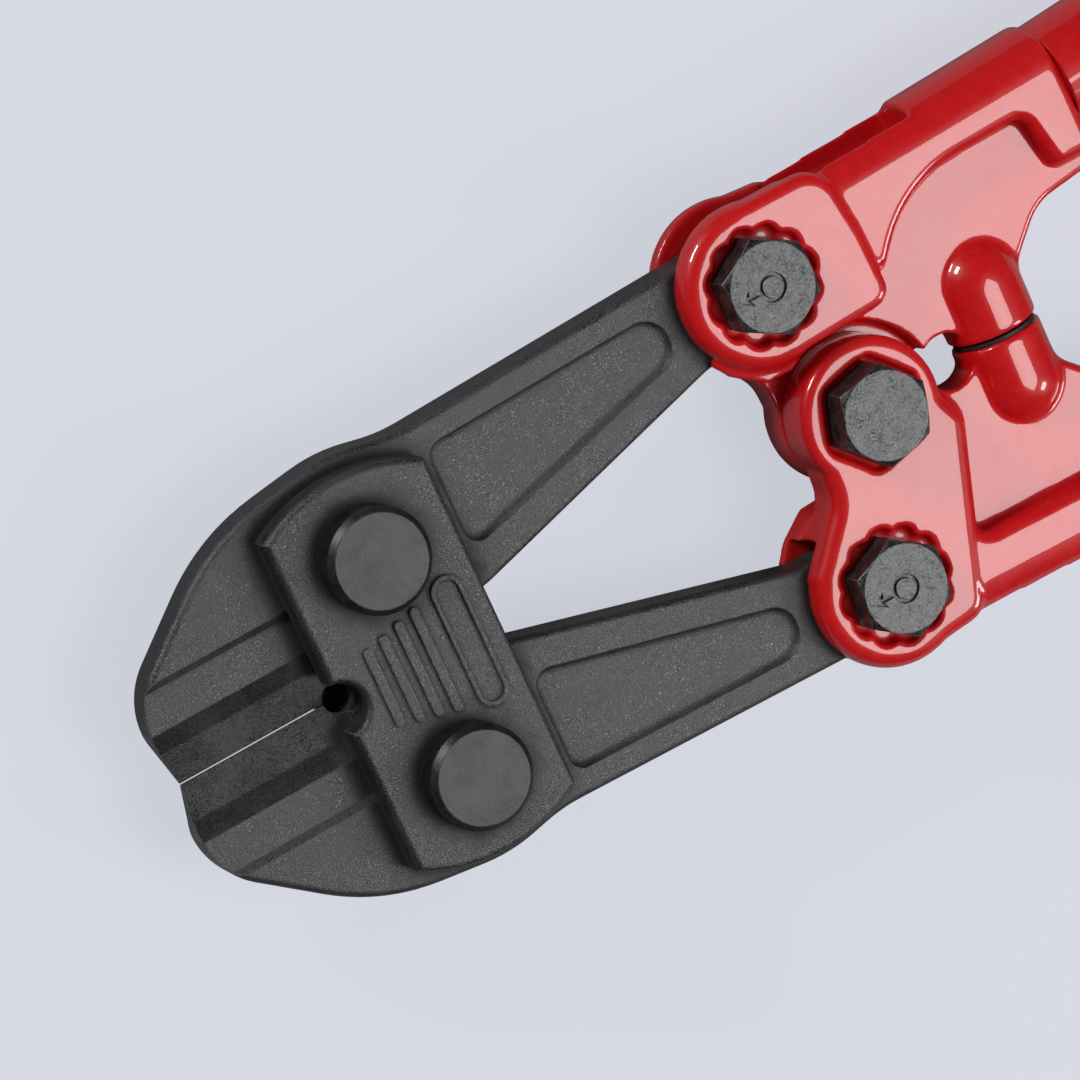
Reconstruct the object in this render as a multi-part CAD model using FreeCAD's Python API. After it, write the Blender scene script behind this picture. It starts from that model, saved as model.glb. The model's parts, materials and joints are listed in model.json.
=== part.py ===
import FreeCAD, Part
import math
import os

# Bolt cutters, 460 mm long, lying flat and closed.
# Design frame: X along the centre line with the jaws towards -X, Y across the
# handles, Z up along the pivot pins, and zero at the middle of the link plates.
# placed() moves every piece from it to the part's frame, whose zero is under
# the middle of the closed tool.

# ---------------------------------------------------------------- driving sizes
tool_length = 460.0
jaw_reach = 46.0            # plate pins to the tip of the jaws
blade_half = 4.0            # half the blades' thickness
side_gap = 0.3              # side clearance of a blade in the plates and clevises
edge_gap = 0.15             # half the gap between the closed cutting edges
blade_round = 1.3
relief_x = -13.5            # round relief behind the cutting edges
relief_radius = 2.8
facet_end_x = -13.0
arm_pocket_depth = 0.9
arm_pocket_round = 1.9

pin_offset = 20.95          # plate pins, from the centre line
pin_radius = 6.0
pin_head_radius = 9.3
pin_head_height = 5.5
pin_head_bevel = 1.0
running_fit = 0.05          # radial clearance of a shaft in its bore

plate_thickness = 5.3
plate_half_length = 15.9
plate_corner_y = 31.6
plate_crown_y = 36.0        # top of the plate's curved ends
plate_edge_round = 1.2
notch_radius = 4.6
notch_depth = 4.6
plate_relief = 0.5          # height of the raised ribs and of the oval frame
rib_count = 4
rib_first_x = -7.7
rib_pitch = 3.43
rib_half_length = 7.4
rib_growth = 0.85           # each rib is longer than the one before
rib_width = 1.7
frame_x = 9.3
frame_half_length = 12.3
frame_half_width = 2.9
frame_line = 0.7

bolt_x = 83.8               # axis of the eccentric bolts' heads
bolt_y = 29.53
eccentric_throw = 0.5
eccentric_radius = 6.0      # journal that the blade turns on
front_journal_radius = 6.6
rear_journal_radius = 5.0
hex_flats = 16.0
hex_face_inset = 0.1        # the turned face's circle inside the flats
hex_crown_slope = 0.6       # rise of the turned corners
mark_ring_radius = 2.6      # ring and pointer sunk in the eccentric heads
mark_line = 0.7
mark_depth = 0.7
pointer_length = 6.3
eccentric_head_height = 6.4
upper_bolt_turn = 31.0      # degrees, first corner of the hexagon
lower_bolt_turn = 24.0
scallop_count = 12
scallop_outer = 10.6
scallop_inner = 9.35

centre_x = 92.89            # joint between the two handles
centre_bolt_radius = 6.0
centre_head_height = 7.4
centre_bolt_turn = 13.0
hex_pocket_flats = 18.3
hex_pocket_corner = 2.0
hex_pocket_depth = 2.05
lobe_radius = 13.6
lobe_round = 1.9
lap_gap = 0.15              # half the gap between the two lobes
pocket_gap = 2.2            # round the other head's lobe
lap_reach_x = 13.3          # the lap face runs this far past the centre bolt
lap_reach_y = 0.3
lap_width = 30.0
free_bore_gap = 2.25        # the upper lobe's bore, left open round the centre bolt
centre_washer_radius = 11.0

ear_radius = 14.9
ear_round = 3.1             # rounding of the ears' outer rims
pad_round = 2.0             # rounding of the pads towards the body
face_z = 9.35               # outer faces of the handle heads
front_body_z = 8.7          # the body behind the ears, slightly lower
rear_body_z = 9.05
body_crown = 8.0            # rounding of the body's outer side
body_top = 10.9             # the body's outer side, from the tube's axis
body_lean = 2.8             # degrees, the body's outer side away from the centre line
body_end_round = 1.2
body_start = 13.0           # the body's front end, from the eccentric bolt
slot_mouth_gap = 1.7        # the slot's mouth is wider than the slot by this on each side
front_neck_z = 6.2
ear_top_y = 42.9            # outer side beside the clevis slot
front_wall_round = 2.3      # rims of the body towards the web
rear_wall_round = 2.6
web_half = 4.0
web_round = 1.2
hole_x = 111.6              # round opening between the two webs
hole_radius = 5.0
recess_floor_z = 6.9
eye_radius = 9.4
eye_gap = 0.5
arm_swing = 50.0            # degrees, how far an arm turns out of its clevis
slot_end_x = 122.2

stop_x = 123.3
stop_radius = 8.4
stop_length = 9.6           # centre line to the middle of the domed end
stop_gap = 0.5              # half the gap between the two stops
buffer_radius = 7.7
buffer_stem = 3.0
buffer_stem_length = 4.0

seam_x = 151.0              # where the tubes meet the handle heads
seam_y = 35.9
flare = 4.5                 # degrees, each handle away from the centre line
tube_radius = 10.0
tube_wall = 2.0
tang_length = 45.0
tang_root = 6.0             # how far the tang reaches back into the head
tang_gap = 0.05

grip_length = 138.0
grip_radius = 15.2
grip_waist = 13.6
grip_end_wall = 3.0
grip_end_round = 4.0
inlay_depth = 1.2
inlay_length = 92.0
inlay_half_width = 6.0

washer_thickness = 1.2
nut_height = 4.4
centre_nut_height = 4.2
nut_flats = 16.0
washer_radius = 9.6
thread_radius = 5.0

# ------------------------------------------------------------- derived places
plate_inner_z = blade_half + side_gap
plate_outer_z = plate_inner_z + plate_thickness
clevis_z = blade_half + side_gap
pivot_x = bolt_x - eccentric_throw
reach_x = tool_length - jaw_reach
shift_x = -(reach_x - jaw_reach) / 2.0
rest_z = plate_outer_z + washer_thickness + nut_height
flare_x = math.cos(math.radians(flare))
flare_y = math.sin(math.radians(flare))
# the grip's outer end is square to its axis, so its outer corner reaches furthest
handle_length = (reach_x - seam_x - (grip_radius - grip_end_round) * flare_y) / flare_x
tube_length = handle_length - grip_end_wall
hex_reach = hex_flats / math.sqrt(3.0)
big = 400.0                 # a cutter's length, past everything
almost = 0.99               # keeps the rounded ends of an oval just short of touching


# ------------------------------------------------------------------- helpers
def vec(x, y, z=0.0):
    return FreeCAD.Vector(x, y, z)


def rounded_wire(corners):
    """Closed outline from (x, y, corner radius) corners, in the XY plane."""
    starts = []
    ends = []
    middles = []
    for i in range(len(corners)):
        x, y, radius = corners[i]
        here = vec(x, y)
        before = vec(corners[i - 1][0], corners[i - 1][1])
        after_corner = corners[(i + 1) % len(corners)]
        after = vec(after_corner[0], after_corner[1])
        back = (before - here).normalize()
        ahead = (after - here).normalize()
        half_angle = back.getAngle(ahead) / 2.0
        if radius == 0:
            starts.append(here)
            ends.append(here)
            middles.append(None)
            continue
        run = radius / math.tan(half_angle)
        inward = (back + ahead).normalize()
        middle_reach = radius / math.sin(half_angle) - radius
        starts.append(here + back * run)
        ends.append(here + ahead * run)
        middles.append(here + inward * middle_reach)
    edges = []
    for i in range(len(corners)):
        if middles[i] is not None:
            edges.append(Part.Arc(starts[i], middles[i], ends[i]).toShape())
        following = starts[(i + 1) % len(corners)]
        if ends[i].distanceToPoint(following) > 1e-6:
            edges.append(Part.LineSegment(ends[i], following).toShape())
    return Part.Wire(edges)


def plate_of(wire, low, high):
    """Solid between two heights over a closed outline."""
    face = Part.Face(wire)
    face.translate(vec(0, 0, low))
    return face.extrude(vec(0, 0, high - low))


def rod(x, y, radius, low, high):
    return Part.makeCylinder(radius, high - low, vec(x, y, low))


def joined(first, others):
    """One solid from solids that overlap, with the seams on shared faces removed."""
    return first.fuse(others).removeSplitter().Solids[0]


def hex_wire(x, y, flats, turn, corner_radius):
    corner_reach = flats / math.sqrt(3.0)
    corners = []
    for i in range(6):
        angle = math.radians(turn + 60.0 * i)
        along = corner_reach * math.cos(angle)
        across = corner_reach * math.sin(angle)
        corners.append((x + along, y + across, corner_radius))
    return rounded_wire(corners)


def hex_crown(x, y, low, high):
    """Turned blank that leaves a round face on top of a hexagon."""
    outer = hex_reach + 2.0
    face_radius = hex_flats / 2.0 - hex_face_inset
    drop = (outer - face_radius) * hex_crown_slope
    slope = Part.makeCone(outer, face_radius, drop, vec(x, y, high - drop))
    return rod(x, y, outer, low, high - drop).fuse(slope)


def hex_block(x, y, turn, low, high):
    """Hexagon with its corners turned off at the top."""
    return plate_of(hex_wire(x, y, hex_flats, turn, 0.0), low, high).common(hex_crown(x, y, low, high))


def face_edges(solid, height):
    """Edges that lie wholly at one height."""
    found = []
    for edge in solid.Edges:
        box = edge.BoundBox
        if abs(box.ZMin - height) < 1e-5 and abs(box.ZMax - height) < 1e-5:
            found.append(edge)
    return found


def rounded_rims(solid, heights, radius):
    edges = []
    for height in heights:
        edges.extend(face_edges(solid, height))
    return solid.makeFillet(radius, edges)


def flip(shape):
    """The same piece turned over about the centre line."""
    turned = shape.copy()
    turned.rotate(vec(0, 0), vec(1, 0), 180.0)
    return turned


def along_handle(shape):
    """Moves a piece made along +X from zero to the upper tube's axis."""
    moved = shape.copy()
    moved.rotate(vec(0, 0), vec(0, 0, 1), flare)
    moved.translate(vec(seam_x, seam_y))
    return moved


def placed(shape):
    moved = shape.copy()
    moved.translate(vec(shift_x, 0, rest_z))
    return moved


def write(name, shapes):
    solids = []
    for shape in shapes:
        solids.extend(shape.Solids)
    result = solids[0] if len(solids) == 1 else Part.makeCompound(solids)
    result = placed(result)
    result.exportStep(os.path.join("parts", name + ".step"))
    box = result.BoundBox
    print("%-22s solids %d volume %9.1f valid %s  x %.1f %.1f y %.1f %.1f z %.1f %.1f" % (
        name, len(solids), result.Volume, result.isValid(),
        box.XMin, box.XMax, box.YMin, box.YMax, box.ZMin, box.ZMax))


# -------------------------------------------------------------------- blades
# outer side of the upper blade, from the tip of its cutting edge to the arm
jaw_side = [(1.5 - jaw_reach, edge_gap, 0.0), (-1.3 - jaw_reach, 15.5, 14.0), (-22.5, 35.5, 40.0),
            (2.0, 38.9, 30.0), (13.5, 36.4, 30.0)]
arm_inner_rear = (bolt_x - 13.3, bolt_y - 9.9)
arm_inner_front = (18.9, 5.5)
heel = (-9.0, edge_gap)
arm_pocket = [(17.6, pin_offset + 11.25, 3.4), (bolt_x - 17.4, bolt_y + 4.3, 5.4),
              (bolt_x - 17.4, bolt_y - 5.6, 5.0), (17.6, pin_offset - 9.6, 3.4)]
# the ground jaw's half section: distance from the cutting edge, half thickness
jaw_section = [(0.0, 0.2), (6.4, 1.7), (10.2, 3.1), (17.0, 3.1), (18.6, 4.1)]


def tangent_corner(x, y, above):
    """Where a line from a point, touching the eye, meets the eye's far tangent."""
    across = pivot_x - x
    rise = bolt_y - y
    distance = math.hypot(across, rise)
    lean = math.asin(eye_radius / distance)
    angle = math.atan2(rise, across) + (lean if above else -lean)
    far_x = pivot_x + eye_radius
    return (far_x, y + (far_x - x) * math.tan(angle), eye_radius)


def blade_outline():
    corners = list(jaw_side)
    corners.append(tangent_corner(jaw_side[-1][0], jaw_side[-1][1], True))
    corners.append(tangent_corner(arm_inner_rear[0], arm_inner_rear[1], False))
    corners.append((arm_inner_rear[0], arm_inner_rear[1], 10.0))
    corners.append((arm_inner_front[0], arm_inner_front[1], 20.0))
    corners.append((heel[0], heel[1], 20.0))
    return rounded_wire(corners)


def jaw_facets():
    """What is ground away on the front of the jaw, above the half section."""
    high = blade_half + 2.0
    points = [vec(facet_end_x, edge_gap + y, z) for y, z in jaw_section]
    points.append(vec(facet_end_x, edge_gap + jaw_section[-1][0], high))
    points.append(vec(facet_end_x, -2.0, high))
    points.append(vec(facet_end_x, -2.0, jaw_section[0][1]))
    points.append(points[0])
    face = Part.Face(Part.makePolygon(points))
    return face.extrude(vec(-big / 4.0, 0, 0))


def pocket_cutter():
    """Cutter for the front of the arm, with its floor rounded up into its walls."""
    floor = blade_half - arm_pocket_depth
    cutter = plate_of(rounded_wire(arm_pocket), floor, blade_half * 3.0)
    return rounded_rims(cutter, [floor], arm_pocket_round)


def upper_blade():
    solid = plate_of(blade_outline(), -blade_half, blade_half)
    solid = rounded_rims(solid, [blade_half, -blade_half], blade_round)
    facets = jaw_facets()
    solid = solid.cut(facets)
    solid = solid.cut(facets.mirror(vec(0, 0), vec(0, 0, 1)))
    solid = solid.cut(rod(relief_x, 0, relief_radius, -big, big))
    pocket = pocket_cutter()
    solid = solid.cut(pocket)
    solid = solid.cut(pocket.mirror(vec(0, 0), vec(0, 0, 1)))
    solid = solid.cut(rod(0, pin_offset, pin_radius + running_fit, -big, big))
    solid = solid.cut(rod(pivot_x, bolt_y, eccentric_radius + running_fit, -big, big))
    return solid


# --------------------------------------------------------------- link plates
def stadium(x, half_length, half_width):
    """Long oval across the tool."""
    end_round = half_width * almost
    corners = [(x - half_width, -half_length, end_round), (x + half_width, -half_length, end_round),
               (x + half_width, half_length, end_round), (x - half_width, half_length, end_round)]
    return rounded_wire(corners)


def plate_blank(notched):
    right = plate_half_length
    edges = []
    low_left = vec(-right, -plate_corner_y)
    low_right = vec(right, -plate_corner_y)
    high_right = vec(right, plate_corner_y)
    high_left = vec(-right, plate_corner_y)
    edges.append(Part.Arc(low_left, vec(0, -plate_crown_y), low_right).toShape())
    edges.append(Part.LineSegment(low_right, high_right).toShape())
    edges.append(Part.Arc(high_right, vec(0, plate_crown_y), high_left).toShape())
    edges.append(Part.LineSegment(high_left, low_left).toShape())
    solid = plate_of(Part.Wire(edges), plate_inner_z, plate_outer_z)
    if notched:
        notch_x = notch_radius - notch_depth - right
        solid = solid.cut(rod(notch_x, 0, notch_radius, -big, big))
    solid = rounded_rims(solid, [plate_outer_z], plate_edge_round)
    for side in (-1, 1):
        solid = solid.cut(rod(0, side * pin_offset, pin_radius + running_fit, -big, big))
    return solid


def front_link_plate():
    solid = plate_blank(True)
    high = plate_outer_z + plate_relief
    root = plate_outer_z - 0.1
    for i in range(rib_count):
        x = rib_first_x + rib_pitch * i
        length = rib_half_length + rib_growth * i
        solid = solid.fuse(plate_of(stadium(x, length, rib_width / 2.0), root, high))
    ring = plate_of(stadium(frame_x, frame_half_length, frame_half_width), root, high)
    inner = stadium(frame_x, frame_half_length - frame_line, frame_half_width - frame_line)
    solid = solid.fuse(ring.cut(plate_of(inner, -big, big)))
    return solid


# ------------------------------------------------------------------ fasteners
def plate_pin(side):
    y = side * pin_offset
    head = rod(0, y, pin_head_radius, plate_outer_z, plate_outer_z + pin_head_height)
    head = head.makeChamfer(pin_head_bevel, face_edges(head, plate_outer_z + pin_head_height))
    shank = rod(0, y, pin_radius, -plate_outer_z, plate_outer_z)
    thread = rod(0, y, thread_radius, -rest_z, -plate_outer_z)
    return head.fuse([shank, thread])


def washer(x, y, top, radius):
    ring = rod(x, y, radius, top - washer_thickness, top)
    return ring.cut(rod(x, y, thread_radius + 0.3, -big, big))


def nut(x, y, top, height, turn):
    """Nut with its corners turned off on both faces."""
    low = top - height
    block = hex_block(x, y, turn, low, top)
    underside = hex_crown(x, y, low, top).mirror(vec(x, y, (low + top) / 2.0), vec(0, 0, 1))
    return block.common(underside).cut(rod(x, y, thread_radius, -big, big))


def eccentric_bolt(side):
    """Hexagon bolt whose middle journal is offset, locked by the scalloped recess."""
    y = side * bolt_y
    turn = upper_bolt_turn if side > 0 else lower_bolt_turn
    high = recess_floor_z + eccentric_head_height
    head = hex_block(bolt_x, y, turn, recess_floor_z, high)
    ring = rod(bolt_x, y, mark_ring_radius, high - mark_depth, big)
    head = head.cut(ring.cut(rod(bolt_x, y, mark_ring_radius - mark_line, -big, big)))
    tip = bolt_x - pointer_length
    neck = tip + 2.2 * mark_line
    barb = tip + 2.9 * mark_line
    stem = mark_line / 2.0
    root = bolt_x - mark_ring_radius + stem
    pointer = [(tip, y, 0.0), (barb, y + 2.2 * mark_line, 0.0), (neck, y + stem, 0.0), (root, y + stem, 0.0),
               (root, y - stem, 0.0), (neck, y - stem, 0.0), (barb, y - 2.2 * mark_line, 0.0)]
    head = head.cut(plate_of(rounded_wire(pointer), high - mark_depth, big))
    front = rod(bolt_x, y, front_journal_radius, clevis_z, recess_floor_z)
    middle = rod(pivot_x, y, eccentric_radius, -clevis_z, clevis_z)
    rear = rod(bolt_x, y, rear_journal_radius, -face_z - washer_thickness - nut_height, -clevis_z)
    return head.fuse([front, middle, rear])


def centre_bolt():
    floor = face_z - hex_pocket_depth
    shoulder = -face_z - side_gap
    head = hex_block(centre_x, 0, centre_bolt_turn, floor, floor + centre_head_height)
    shank = rod(centre_x, 0, centre_bolt_radius, shoulder, floor)
    thread = rod(centre_x, 0, thread_radius, shoulder - washer_thickness - centre_nut_height, shoulder)
    return head.fuse([shank, thread])


# --------------------------------------------------------------- handle heads
# The upper head is drawn. The lower one is the same forging turned over, so
# the lobe of each lies against the lobe of the other at the centre bolt.
front_pad = [(bolt_x, bolt_y - 14.2, 0.0), (bolt_x + 21.6, bolt_y - 13.4, 3.4),
             (bolt_x + 21.0, bolt_y + 0.5, 8.0), (bolt_x + 18.9, ear_top_y + 1.0, 6.5),
             (bolt_x, ear_top_y + 1.0, 0.0)]
rear_pad = [(centre_x - 12.3, -0.5, 0.0), (centre_x - 12.9, 11.0, 8.0), (bolt_x - 13.3, bolt_y - 7.6, 0.0),
            (bolt_x - 7.8, bolt_y + 11.5, 0.0), (bolt_x, ear_top_y + 1.0, 0.0),
            (bolt_x + 14.4, ear_top_y - 0.2, 5.0), (centre_x + 16.4, 8.6, 3.4), (centre_x + 12.1, -0.5, 0.0)]
# neck from the front ear down to the room for the other head's lobe
front_neck = [(bolt_x - 13.5, bolt_y - 9.0, 0.0), (bolt_x - 10.8, bolt_y - 12.6, 5.0),
              (centre_x - 14.6, 13.2, 0.0), (centre_x - 6.0, 12.6, 0.0), (bolt_x, bolt_y, 0.0)]
body_start_x = bolt_x + body_start
front_body = [(body_start_x, 2.0 * ear_top_y, 0.0), (body_start_x, bolt_y - 7.5, 0.0),
              (bolt_x + 23.2, bolt_y - 7.9, 0.0), (bolt_x + 32.3, bolt_y + 3.3, 24.0),
              (seam_x - 9.8, seam_y - 2.5, 2.6), (seam_x - 7.3, seam_y - 13.5, 2.2),
              (seam_x + 1.0, seam_y - 13.7, 0.0), (seam_x + 1.0, 2.0 * ear_top_y, 0.0)]
rear_body = [(body_start_x, 2.0 * ear_top_y, 0.0), (body_start_x, bolt_y - 7.5, 0.0),
             (bolt_x + 20.4, bolt_y + 0.2, 3.0), (bolt_x + 40.2, bolt_y + 1.0, 10.0),
             (seam_x - 11.0, seam_y - 4.8, 3.5), (seam_x - 6.0, seam_y - 11.5, 3.5),
             (seam_x + 1.0, seam_y - 12.5, 0.0), (seam_x + 1.0, 2.0 * ear_top_y, 0.0)]
web_outline = [(96.0, 38.0, 0.0), (96.0, 0.6, 0.0), (stop_x + 7.4, 0.6, 0.5), (stop_x + 7.9, 9.3, 6.0),
               (seam_x - 11.7, 17.2, 10.0), (seam_x, 18.6, 20.0), (seam_x + 10.0, 20.2, 14.0),
               (seam_x + 25.0, 28.5, 0.0), (seam_x + 25.0, 38.0, 0.0)]


def crowned_bar(length, low, top, half_thickness):
    """Bar along -X from zero, from low to top across, with its top and its end rounded over."""
    section = [(low, -half_thickness, 0.0), (top, -half_thickness, body_crown),
               (top, half_thickness, body_crown), (low, half_thickness, 0.0)]
    bar = plate_of(rounded_wire(section), 0.0, length)
    end = [edge for edge in face_edges(bar, length) if edge.BoundBox.XMax > low + 1.0]
    bar = bar.makeFillet(body_end_round, end)
    bar.rotate(vec(0, 0), vec(1, 1, 1), 120.0)
    bar.translate(vec(-length, 0))
    return bar


def body_envelope(half_thickness):
    """What the body may fill, rounded over along its outer side."""
    bar = crowned_bar(seam_x - body_start_x, -seam_y, body_top, half_thickness)
    bar.rotate(vec(0, 0), vec(0, 0, 1), body_lean)
    bar.translate(vec(seam_x, seam_y))
    return bar


def slot_mouth():
    """Wider part of the clevis slot, past the eye of the arm."""
    low_x = body_start_x - body_end_round
    corners = [(low_x, bolt_y + eye_radius, 0.0), (slot_end_x, bolt_y + eye_radius, 0.0),
               (slot_end_x, 2.0 * ear_top_y, 0.0), (low_x, 2.0 * ear_top_y, 0.0)]
    half = clevis_z + slot_mouth_gap
    return plate_of(rounded_wire(corners), -half, half)


def slot_outline():
    """Clevis slot that the arm lies in and swings out of."""
    half = eye_radius + eye_gap
    lean = math.radians(90.0 - arm_swing)
    edge_x = pivot_x + half * math.cos(lean)
    edge_y = bolt_y + half * math.sin(lean)
    arm_angle = math.atan2(arm_inner_rear[1] - arm_inner_front[1], arm_inner_rear[0] - arm_inner_front[0])
    foot_x = pivot_x + half * math.sin(arm_angle)
    foot_y = bolt_y - half * math.cos(arm_angle)
    far = 50.0
    corners = [(foot_x, foot_y, 0.0), (edge_x, edge_y, 0.0), (slot_end_x, ear_top_y + 2.2, 0.0),
               (slot_end_x, ear_top_y + far, 0.0), (foot_x - far, ear_top_y + far, 0.0),
               (foot_x - far * math.cos(arm_angle), foot_y - far * math.sin(arm_angle), 0.0)]
    return rounded_wire(corners)


def scalloped_recess(side, turn):
    """Twelve-lobed recess that holds the hexagon in steps."""
    x = bolt_x
    y = side * bolt_y
    pitch = 2.0 * math.pi / scallop_count
    start = math.radians(turn)
    edges = []
    for i in range(scallop_count):
        middle = start + pitch * i
        left = middle - pitch / 2.0
        right = middle + pitch / 2.0
        dip_a = vec(x + scallop_inner * math.cos(left), y + scallop_inner * math.sin(left))
        peak = vec(x + scallop_outer * math.cos(middle), y + scallop_outer * math.sin(middle))
        dip_b = vec(x + scallop_inner * math.cos(right), y + scallop_inner * math.sin(right))
        edges.append(Part.Arc(dip_a, peak, dip_b).toShape())
    return plate_of(Part.Wire(edges), recess_floor_z, big)


def stop_boss():
    axis = vec(0, 1, 0)
    boss = Part.makeCylinder(stop_radius, stop_length - stop_gap, vec(stop_x, stop_gap), axis)
    dome = Part.makeSphere(stop_radius, vec(stop_x, stop_length))
    return boss.fuse(dome)


def front_ear():
    """Ear at the front, its pad, and the low neck that runs down from it."""
    disc = rod(bolt_x, bolt_y, ear_radius, 0.0, face_z)
    disc = rounded_rims(disc, [face_z], ear_round)
    pad = plate_of(rounded_wire(front_pad), 0.0, face_z)
    pad = rounded_rims(pad, [face_z], pad_round)
    neck = plate_of(rounded_wire(front_neck), 0.0, front_neck_z)
    return [disc, pad, neck]


def rear_ear():
    """Ear at the rear with its neck, and the lobe round the centre bolt."""
    outline = plate_of(rounded_wire(rear_pad), -face_z, 0.0)
    outline = joined(outline, [rod(bolt_x, bolt_y, ear_radius, -face_z, 0.0)])
    outline = rounded_rims(outline, [-face_z], ear_round)
    lobe = rod(centre_x, 0, lobe_radius, -face_z, 0.0)
    lobe = rounded_rims(lobe, [-face_z], lobe_round)
    return [outline, lobe]


def body():
    front = plate_of(rounded_wire(front_body), 0.0, front_body_z)
    front = rounded_rims(front, [front_body_z], front_wall_round)
    rear = plate_of(rounded_wire(rear_body), -rear_body_z, 0.0)
    rear = rounded_rims(rear, [-rear_body_z], rear_wall_round)
    return [front.common(body_envelope(front_body_z)), rear.common(body_envelope(rear_body_z))]


def tang():
    """Stub inside the tube, rooted in the head."""
    radius = tube_radius - tube_wall - tang_gap
    stub = Part.makeCylinder(radius, tang_length + tang_root, vec(-tang_root, 0), vec(1, 0, 0))
    return along_handle(stub)


def handle_forging():
    web = plate_of(rounded_wire(web_outline), -web_half, web_half)
    web = rounded_rims(web, [web_half, -web_half], web_round)
    web = web.cut(rod(hole_x, 0, hole_radius, -big, big))
    solid = web.fuse(front_ear() + rear_ear() + body() + [stop_boss()])
    tube_space = Part.makeCylinder(tube_radius + running_fit, tang_length * 2.0, vec(0, 0), vec(1, 0, 0))
    solid = solid.cut(along_handle(tube_space))
    solid = solid.fuse(tang())
    # room for the other head's lobe, in front, and a flat lap face on this one's
    solid = solid.cut(rod(centre_x, 0, lobe_radius + pocket_gap, -lap_gap, big))
    lap_space = [(bolt_x - lap_width, -lap_width, 0.0), (centre_x + lap_reach_x, -lap_width, 0.0),
                 (centre_x + lap_reach_x, lap_reach_y, 0.0), (bolt_x - lap_width, lap_reach_y, 0.0)]
    solid = solid.cut(plate_of(rounded_wire(lap_space), -lap_gap, big))
    solid = solid.cut(plate_of(slot_outline(), -clevis_z, clevis_z))
    solid = solid.cut(rod(pivot_x, bolt_y, eye_radius + eye_gap, -clevis_z, clevis_z))
    return solid.cut(slot_mouth())


def bolt_bores(solid, side):
    y = side * bolt_y
    turn = upper_bolt_turn if side > 0 else lower_bolt_turn
    solid = solid.cut(scalloped_recess(side, turn))
    solid = solid.cut(rod(bolt_x, y, front_journal_radius + running_fit, 0, big))
    solid = solid.cut(rod(bolt_x, y, rear_journal_radius + running_fit, -big, 0))
    return solid


def upper_handle_head():
    solid = bolt_bores(handle_forging(), 1)
    return solid.cut(rod(centre_x, 0, centre_bolt_radius + free_bore_gap, -big, 0))


def lower_handle_head():
    solid = bolt_bores(flip(handle_forging()), -1)
    solid = solid.cut(rod(centre_x, 0, centre_bolt_radius + running_fit, 0, big))
    pocket = hex_wire(centre_x, 0, hex_pocket_flats, centre_bolt_turn, hex_pocket_corner)
    solid = solid.cut(plate_of(pocket, face_z - hex_pocket_depth, big))
    stem = Part.makeCylinder(buffer_stem + running_fit, buffer_stem_length + 0.2,
                             vec(stop_x, -stop_gap), vec(0, -1, 0))
    return solid.cut(stem)


def stop_buffer():
    disc = Part.makeCylinder(buffer_radius, 2.0 * stop_gap - side_gap, vec(stop_x, -stop_gap), vec(0, 1, 0))
    stem = Part.makeCylinder(buffer_stem, buffer_stem_length, vec(stop_x, -stop_gap), vec(0, -1, 0))
    return disc.fuse(stem)


# ------------------------------------------------------------ tubes and grips
def tube():
    outer = Part.makeCylinder(tube_radius, tube_length, vec(0, 0), vec(1, 0, 0))
    bore = Part.makeCylinder(tube_radius - tube_wall, tube_length, vec(0, 0), vec(1, 0, 0))
    return outer.cut(bore)


def grip_outline():
    """Half section of the grip, as an outline to turn round the tube."""
    start = handle_length - grip_length
    end = handle_length
    sleeve = tube_radius + running_fit
    middle = (start + end) / 2.0
    edges = []
    lip = vec(start, tube_radius + 1.4)
    collar_a = vec(start + 1.5, grip_radius)
    collar_b = vec(start + 7.0, grip_radius)
    tail_a = vec(end - 10.0, grip_radius)
    tail_b = vec(end, grip_radius - grip_end_round)
    edges.append(Part.LineSegment(vec(start, sleeve), lip).toShape())
    edges.append(Part.LineSegment(lip, collar_a).toShape())
    edges.append(Part.LineSegment(collar_a, collar_b).toShape())
    edges.append(Part.Arc(collar_b, vec(middle, grip_waist), tail_a).toShape())
    round_start = vec(end - grip_end_round, grip_radius)
    edges.append(Part.LineSegment(tail_a, round_start).toShape())
    slant = grip_end_round * (1.0 - math.sqrt(0.5))
    edges.append(Part.Arc(round_start, vec(end - slant, grip_radius - slant), tail_b).toShape())
    edges.append(Part.LineSegment(tail_b, vec(end, 0)).toShape())
    inner_end = tube_length + running_fit
    edges.append(Part.LineSegment(vec(end, 0), vec(inner_end, 0)).toShape())
    edges.append(Part.LineSegment(vec(inner_end, 0), vec(inner_end, sleeve)).toShape())
    edges.append(Part.LineSegment(vec(inner_end, sleeve), vec(start, sleeve)).toShape())
    return Part.Wire(edges)


def grip_body():
    return Part.Face(grip_outline()).revolve(vec(0, 0), vec(1, 0, 0), 360.0)


def inlay_block():
    """Long oval over the top and the underside of a grip, as a cutter."""
    middle = handle_length - grip_length / 2.0
    low = middle - inlay_length / 2.0
    high = middle + inlay_length / 2.0
    end_round = inlay_half_width * almost
    corners = [(low, -inlay_half_width, end_round), (high, -inlay_half_width, end_round),
               (high, inlay_half_width, end_round), (low, inlay_half_width, end_round)]
    return rounded_wire(corners)


def grip_and_inlays():
    body_solid = grip_body()
    core = Part.makeCylinder(grip_waist - inlay_depth, handle_length, vec(0, 0), vec(1, 0, 0))
    shell = body_solid.cut(core)
    inlays = []
    for low, high in ((0.0, grip_radius), (-grip_radius, 0.0)):
        inlays.append(plate_of(inlay_block(), low, high).common(shell))
    return body_solid.cut(inlays), inlays


# --------------------------------------------------------------------- output
os.makedirs("parts", exist_ok=True)

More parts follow.
